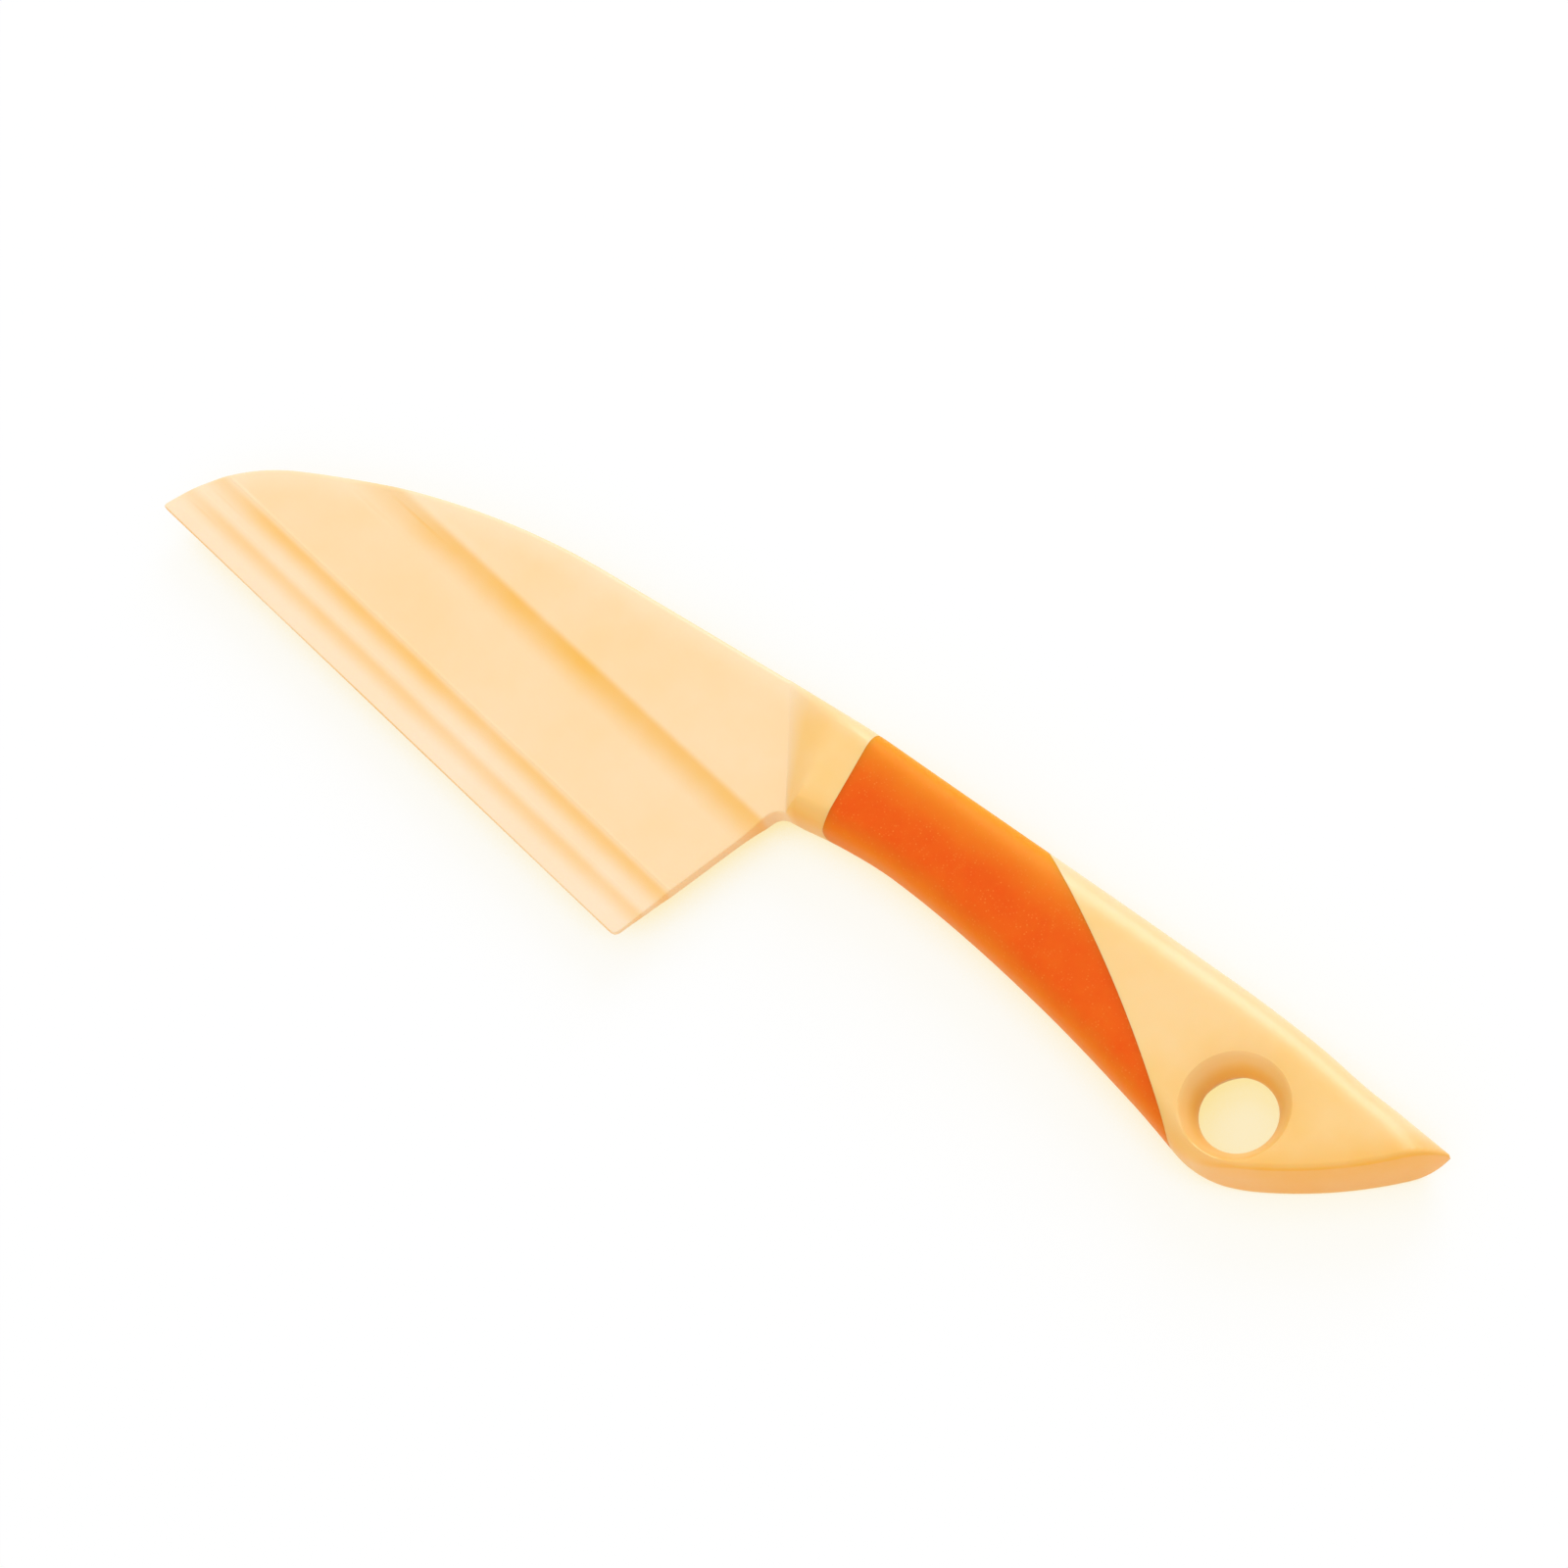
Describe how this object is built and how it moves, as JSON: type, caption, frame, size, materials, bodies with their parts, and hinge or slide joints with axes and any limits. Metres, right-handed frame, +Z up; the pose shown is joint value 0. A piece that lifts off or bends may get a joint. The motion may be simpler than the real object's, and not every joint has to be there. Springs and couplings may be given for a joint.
{
  "type": "cheese knife",
  "caption": "Moulded cheese knife with a stepped thin blade, an angled bolster, a soft overmoulded grip and a countersunk hanging hole through its butt.",
  "frame": {"origin": "centre of the bounding box's underside, where the lower flat of the handle rests", "axes": "+X along the cutting edge from the blade's tip towards the butt, +Y from the cutting edge towards the back, +Z up out of the upper flat"},
  "size_m": [0.2424, 0.063, 0.012],
  "materials": {
    "ivory_plastic": "smooth cream moulded plastic with a soft sheen",
    "orange_rubber": "satin soft-touch orange overmoulding"
  },
  "bodies": {
    "root": {"knife_body": "ivory_plastic", "soft_grip": "orange_rubber"}
  },
  "joints": []
}
